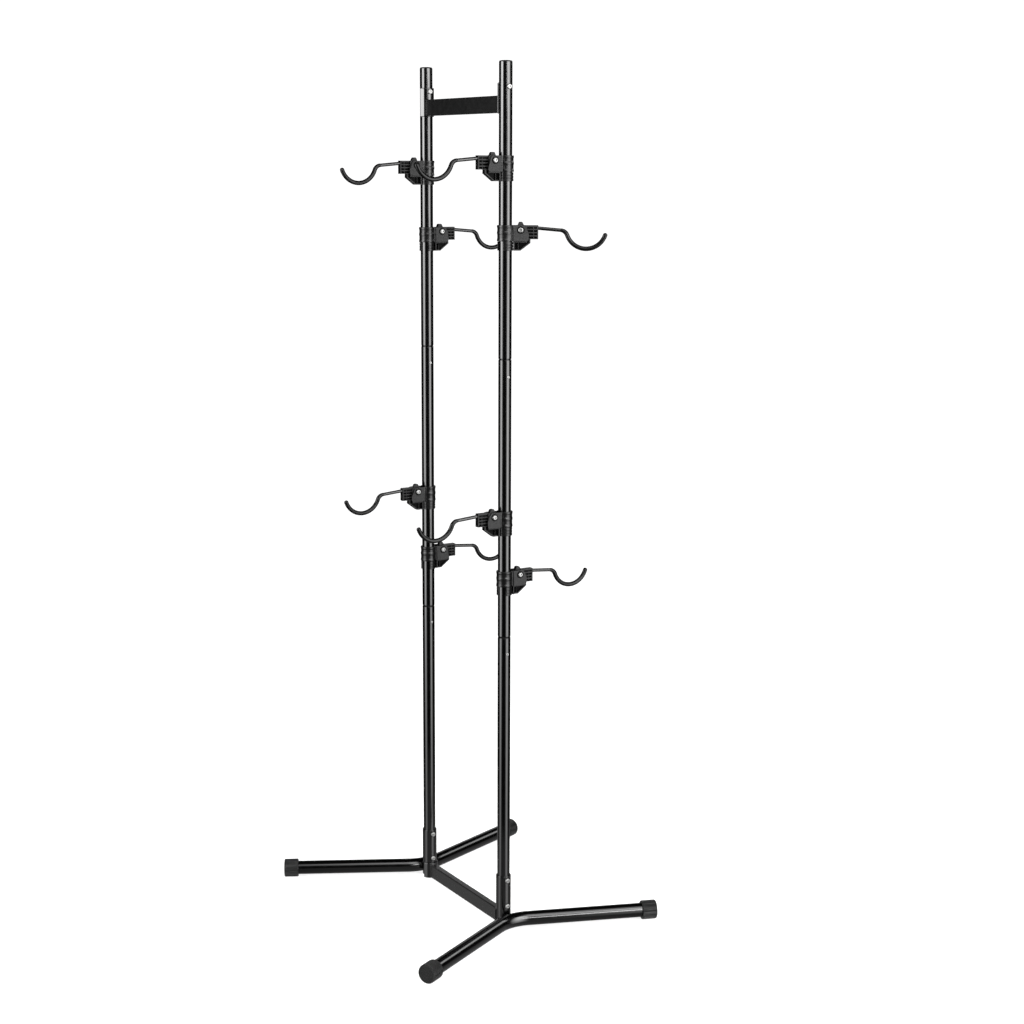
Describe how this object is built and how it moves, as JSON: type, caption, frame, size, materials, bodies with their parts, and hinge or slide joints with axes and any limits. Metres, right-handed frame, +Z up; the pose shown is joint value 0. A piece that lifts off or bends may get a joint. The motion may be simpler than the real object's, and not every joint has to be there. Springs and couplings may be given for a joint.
{
  "type": "bike storage tower",
  "caption": "Free-standing two-pole bike storage tower on splayed bent-tube feet, with height-adjustable, swivelling, fold-up hook arms.",
  "frame": {"origin": "on the floor, midway between the two poles, at the bottom centre of the bounding box", "axes": "+Z up along the poles; the poles stand on the Y axis, near at -Y and far at +Y; the arms point along -X (left) and +X (right)"},
  "size_m": [0.7196, 0.8391, 2.15],
  "materials": {
    "painted_steel": "gloss black paint on steel tube",
    "bracket_plastic": "satin black moulded nylon, finely textured",
    "cap_rubber": "satin black rubber",
    "hook_vinyl": "black painted steel rod in a soft black vinyl sleeve",
    "zinc_bolt": "bright zinc plate"
  },
  "bodies": {
    "frame": {"near_foot_frame": "painted_steel", "near_pole_lower_section": "painted_steel", "near_pole_middle_section": "painted_steel", "near_pole_upper_section": "painted_steel", "far_foot_frame": "painted_steel", "far_pole_lower_section": "painted_steel", "far_pole_middle_section": "painted_steel", "far_pole_upper_section": "painted_steel", "near_left_foot_cap": "cap_rubber", "near_right_foot_cap": "cap_rubber", "near_sleeve_bolt_lower": "zinc_bolt", "near_sleeve_bolt_upper": "zinc_bolt", "near_crossbar_bolt": "zinc_bolt", "far_left_foot_cap": "cap_rubber", "far_right_foot_cap": "cap_rubber", "far_sleeve_bolt_lower": "zinc_bolt", "far_sleeve_bolt_upper": "zinc_bolt", "far_crossbar_bolt": "zinc_bolt", "lower_crossbar": "painted_steel", "upper_crossbar": "painted_steel"},
    "near_left_upper_ring": {"near_left_upper_stop_ring": "bracket_plastic"},
    "near_left_upper_collar": {"near_left_upper_clamp_collar": "bracket_plastic", "near_left_upper_pivot_bolt": "zinc_bolt"},
    "near_left_upper_arm": {"near_left_upper_arm_bracket": "bracket_plastic", "near_left_upper_hook_rod": "hook_vinyl"},
    "near_right_upper_ring": {"near_right_upper_stop_ring": "bracket_plastic"},
    "near_right_upper_collar": {"near_right_upper_clamp_collar": "bracket_plastic", "near_right_upper_pivot_bolt": "zinc_bolt"},
    "near_right_upper_arm": {"near_right_upper_arm_bracket": "bracket_plastic", "near_right_upper_hook_rod": "hook_vinyl"},
    "near_left_lower_ring": {"near_left_lower_stop_ring": "bracket_plastic"},
    "near_left_lower_collar": {"near_left_lower_clamp_collar": "bracket_plastic", "near_left_lower_pivot_bolt": "zinc_bolt"},
    "near_left_lower_arm": {"near_left_lower_arm_bracket": "bracket_plastic", "near_left_lower_hook_rod": "hook_vinyl"},
    "near_right_lower_ring": {"near_right_lower_stop_ring": "bracket_plastic"},
    "near_right_lower_collar": {"near_right_lower_clamp_collar": "bracket_plastic", "near_right_lower_pivot_bolt": "zinc_bolt"},
    "near_right_lower_arm": {"near_right_lower_arm_bracket": "bracket_plastic", "near_right_lower_hook_rod": "hook_vinyl"},
    "far_left_upper_ring": {"far_left_upper_stop_ring": "bracket_plastic"},
    "far_left_upper_collar": {"far_left_upper_clamp_collar": "bracket_plastic", "far_left_upper_pivot_bolt": "zinc_bolt"},
    "far_left_upper_arm": {"far_left_upper_arm_bracket": "bracket_plastic", "far_left_upper_hook_rod": "hook_vinyl"},
    "far_right_upper_ring": {"far_right_upper_stop_ring": "bracket_plastic"},
    "far_right_upper_collar": {"far_right_upper_clamp_collar": "bracket_plastic", "far_right_upper_pivot_bolt": "zinc_bolt"},
    "far_right_upper_arm": {"far_right_upper_arm_bracket": "bracket_plastic", "far_right_upper_hook_rod": "hook_vinyl"},
    "far_left_lower_ring": {"far_left_lower_stop_ring": "bracket_plastic"},
    "far_left_lower_collar": {"far_left_lower_clamp_collar": "bracket_plastic", "far_left_lower_pivot_bolt": "zinc_bolt"},
    "far_left_lower_arm": {"far_left_lower_arm_bracket": "bracket_plastic", "far_left_lower_hook_rod": "hook_vinyl"},
    "far_right_lower_ring": {"far_right_lower_stop_ring": "bracket_plastic"},
    "far_right_lower_collar": {"far_right_lower_clamp_collar": "bracket_plastic", "far_right_lower_pivot_bolt": "zinc_bolt"},
    "far_right_lower_arm": {"far_right_lower_arm_bracket": "bracket_plastic", "far_right_lower_hook_rod": "hook_vinyl"}
  },
  "joints": [
    {"name": "near_left_upper_height", "type": "slide", "parent": "frame", "child": "near_left_upper_ring", "axis": [0, 0, 1], "range_m": [-0.094, 0.088]},
    {"name": "near_left_upper_swivel", "type": "hinge", "parent": "near_left_upper_ring", "child": "near_left_upper_collar", "pos_m": [0, -0.195, 1.911], "axis": [0, 0, 1], "continuous": true},
    {"name": "near_left_upper_fold", "type": "hinge", "parent": "near_left_upper_collar", "child": "near_left_upper_arm", "pos_m": [-0.0367, -0.195, 1.919], "axis": [0, 1, 0], "range_deg": [0, 90]},
    {"name": "near_right_upper_height", "type": "slide", "parent": "frame", "child": "near_right_upper_ring", "axis": [0, 0, 1], "range_m": [-0.62, 0.094]},
    {"name": "near_right_upper_swivel", "type": "hinge", "parent": "near_right_upper_ring", "child": "near_right_upper_collar", "pos_m": [0, -0.195, 1.748], "axis": [0, 0, 1], "continuous": true},
    {"name": "near_right_upper_fold", "type": "hinge", "parent": "near_right_upper_collar", "child": "near_right_upper_arm", "pos_m": [0.03178, -0.21335, 1.756], "axis": [-0.5, -0.866, 0], "range_deg": [0, 90]},
    {"name": "near_left_lower_height", "type": "slide", "parent": "frame", "child": "near_left_lower_ring", "axis": [0, 0, 1], "range_m": [-0.081, 0.62]},
    {"name": "near_left_lower_swivel", "type": "hinge", "parent": "near_left_lower_ring", "child": "near_left_lower_collar", "pos_m": [0, -0.195, 1.056], "axis": [0, 0, 1], "continuous": true},
    {"name": "near_left_lower_fold", "type": "hinge", "parent": "near_left_lower_collar", "child": "near_left_lower_arm", "pos_m": [-0.0367, -0.195, 1.064], "axis": [0, 1, 0], "range_deg": [0, 90]},
    {"name": "near_right_lower_height", "type": "slide", "parent": "frame", "child": "near_right_lower_ring", "axis": [0, 0, 1], "range_m": [-0.727, 0.081]},
    {"name": "near_right_lower_swivel", "type": "hinge", "parent": "near_right_lower_ring", "child": "near_right_lower_collar", "pos_m": [0, -0.195, 0.906], "axis": [0, 0, 1], "continuous": true},
    {"name": "near_right_lower_fold", "type": "hinge", "parent": "near_right_lower_collar", "child": "near_right_lower_arm", "pos_m": [0.0367, -0.195, 0.914], "axis": [0, -1, 0], "range_deg": [0, 90]},
    {"name": "far_left_upper_height", "type": "slide", "parent": "frame", "child": "far_left_upper_ring", "axis": [0, 0, 1], "range_m": [-0.098, 0.1]},
    {"name": "far_left_upper_swivel", "type": "hinge", "parent": "far_left_upper_ring", "child": "far_left_upper_collar", "pos_m": [0, 0.195, 1.899], "axis": [0, 0, 1], "continuous": true},
    {"name": "far_left_upper_fold", "type": "hinge", "parent": "far_left_upper_collar", "child": "far_left_upper_arm", "pos_m": [-0.0367, 0.195, 1.907], "axis": [0, 1, 0], "range_deg": [0, 90]},
    {"name": "far_right_upper_height", "type": "slide", "parent": "frame", "child": "far_right_upper_ring", "axis": [0, 0, 1], "range_m": [-0.6, 0.098]},
    {"name": "far_right_upper_swivel", "type": "hinge", "parent": "far_right_upper_ring", "child": "far_right_upper_collar", "pos_m": [0, 0.195, 1.732], "axis": [0, 0, 1], "continuous": true},
    {"name": "far_right_upper_fold", "type": "hinge", "parent": "far_right_upper_collar", "child": "far_right_upper_arm", "pos_m": [0.0367, 0.195, 1.74], "axis": [0, -1, 0], "range_deg": [0, 90]},
    {"name": "far_left_lower_height", "type": "slide", "parent": "frame", "child": "far_left_lower_ring", "axis": [0, 0, 1], "range_m": [-0.092, 0.6]},
    {"name": "far_left_lower_swivel", "type": "hinge", "parent": "far_left_lower_ring", "child": "far_left_lower_collar", "pos_m": [0, 0.195, 1.061], "axis": [0, 0, 1], "continuous": true},
    {"name": "far_left_lower_fold", "type": "hinge", "parent": "far_left_lower_collar", "child": "far_left_lower_arm", "pos_m": [-0.0367, 0.195, 1.069], "axis": [0, 1, 0], "range_deg": [0, 90]},
    {"name": "far_right_lower_height", "type": "slide", "parent": "frame", "child": "far_right_lower_ring", "axis": [0, 0, 1], "range_m": [-0.721, 0.092]},
    {"name": "far_right_lower_swivel", "type": "hinge", "parent": "far_right_lower_ring", "child": "far_right_lower_collar", "pos_m": [0, 0.195, 0.9], "axis": [0, 0, 1], "continuous": true},
    {"name": "far_right_lower_fold", "type": "hinge", "parent": "far_right_lower_collar", "child": "far_right_lower_arm", "pos_m": [0.0367, 0.195, 0.908], "axis": [0, -1, 0], "range_deg": [0, 90]}
  ]
}
